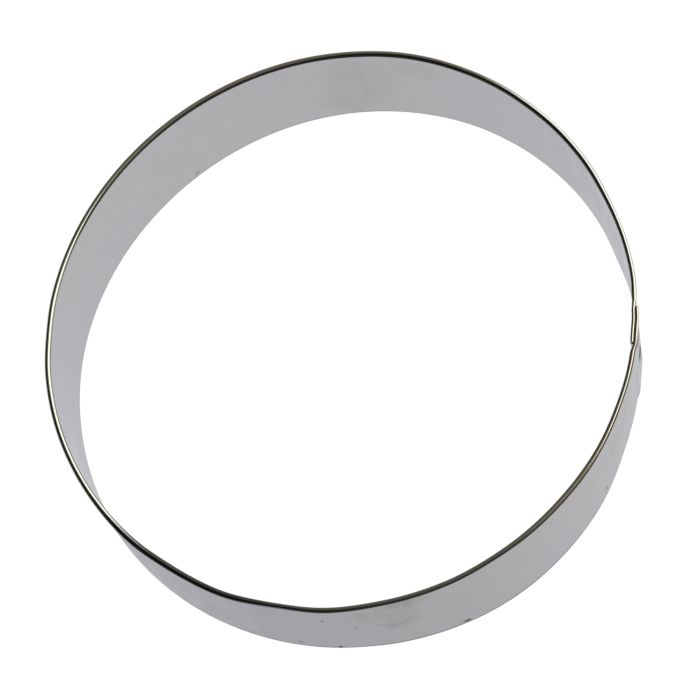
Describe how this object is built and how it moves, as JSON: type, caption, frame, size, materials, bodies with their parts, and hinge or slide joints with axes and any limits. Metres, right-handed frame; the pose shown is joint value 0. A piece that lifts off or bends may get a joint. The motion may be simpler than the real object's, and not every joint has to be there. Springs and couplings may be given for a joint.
{
  "type": "biscuit cutter",
  "caption": "Round biscuit cutter: a ring of tinplate strip with a rolled rim on top, a plain cutting edge below and a lapped, spot-welded seam.",
  "frame": {"origin": "on the ring's axis, in the plane of the cutting edge", "axes": "+Z along the ring's axis, up from the cutting edge to the rolled rim; +X towards the lapped seam"},
  "size_m": [0.1093, 0.1088, 0.0254],
  "materials": {
    "tinplate": "bright tinplate, lightly scuffed",
    "weld_mark": "heat-darkened tinplate in an electrode dimple"
  },
  "bodies": {
    "root": {"band": "tinplate", "spot_weld_upper": "weld_mark", "spot_weld_lower": "weld_mark"}
  },
  "joints": []
}
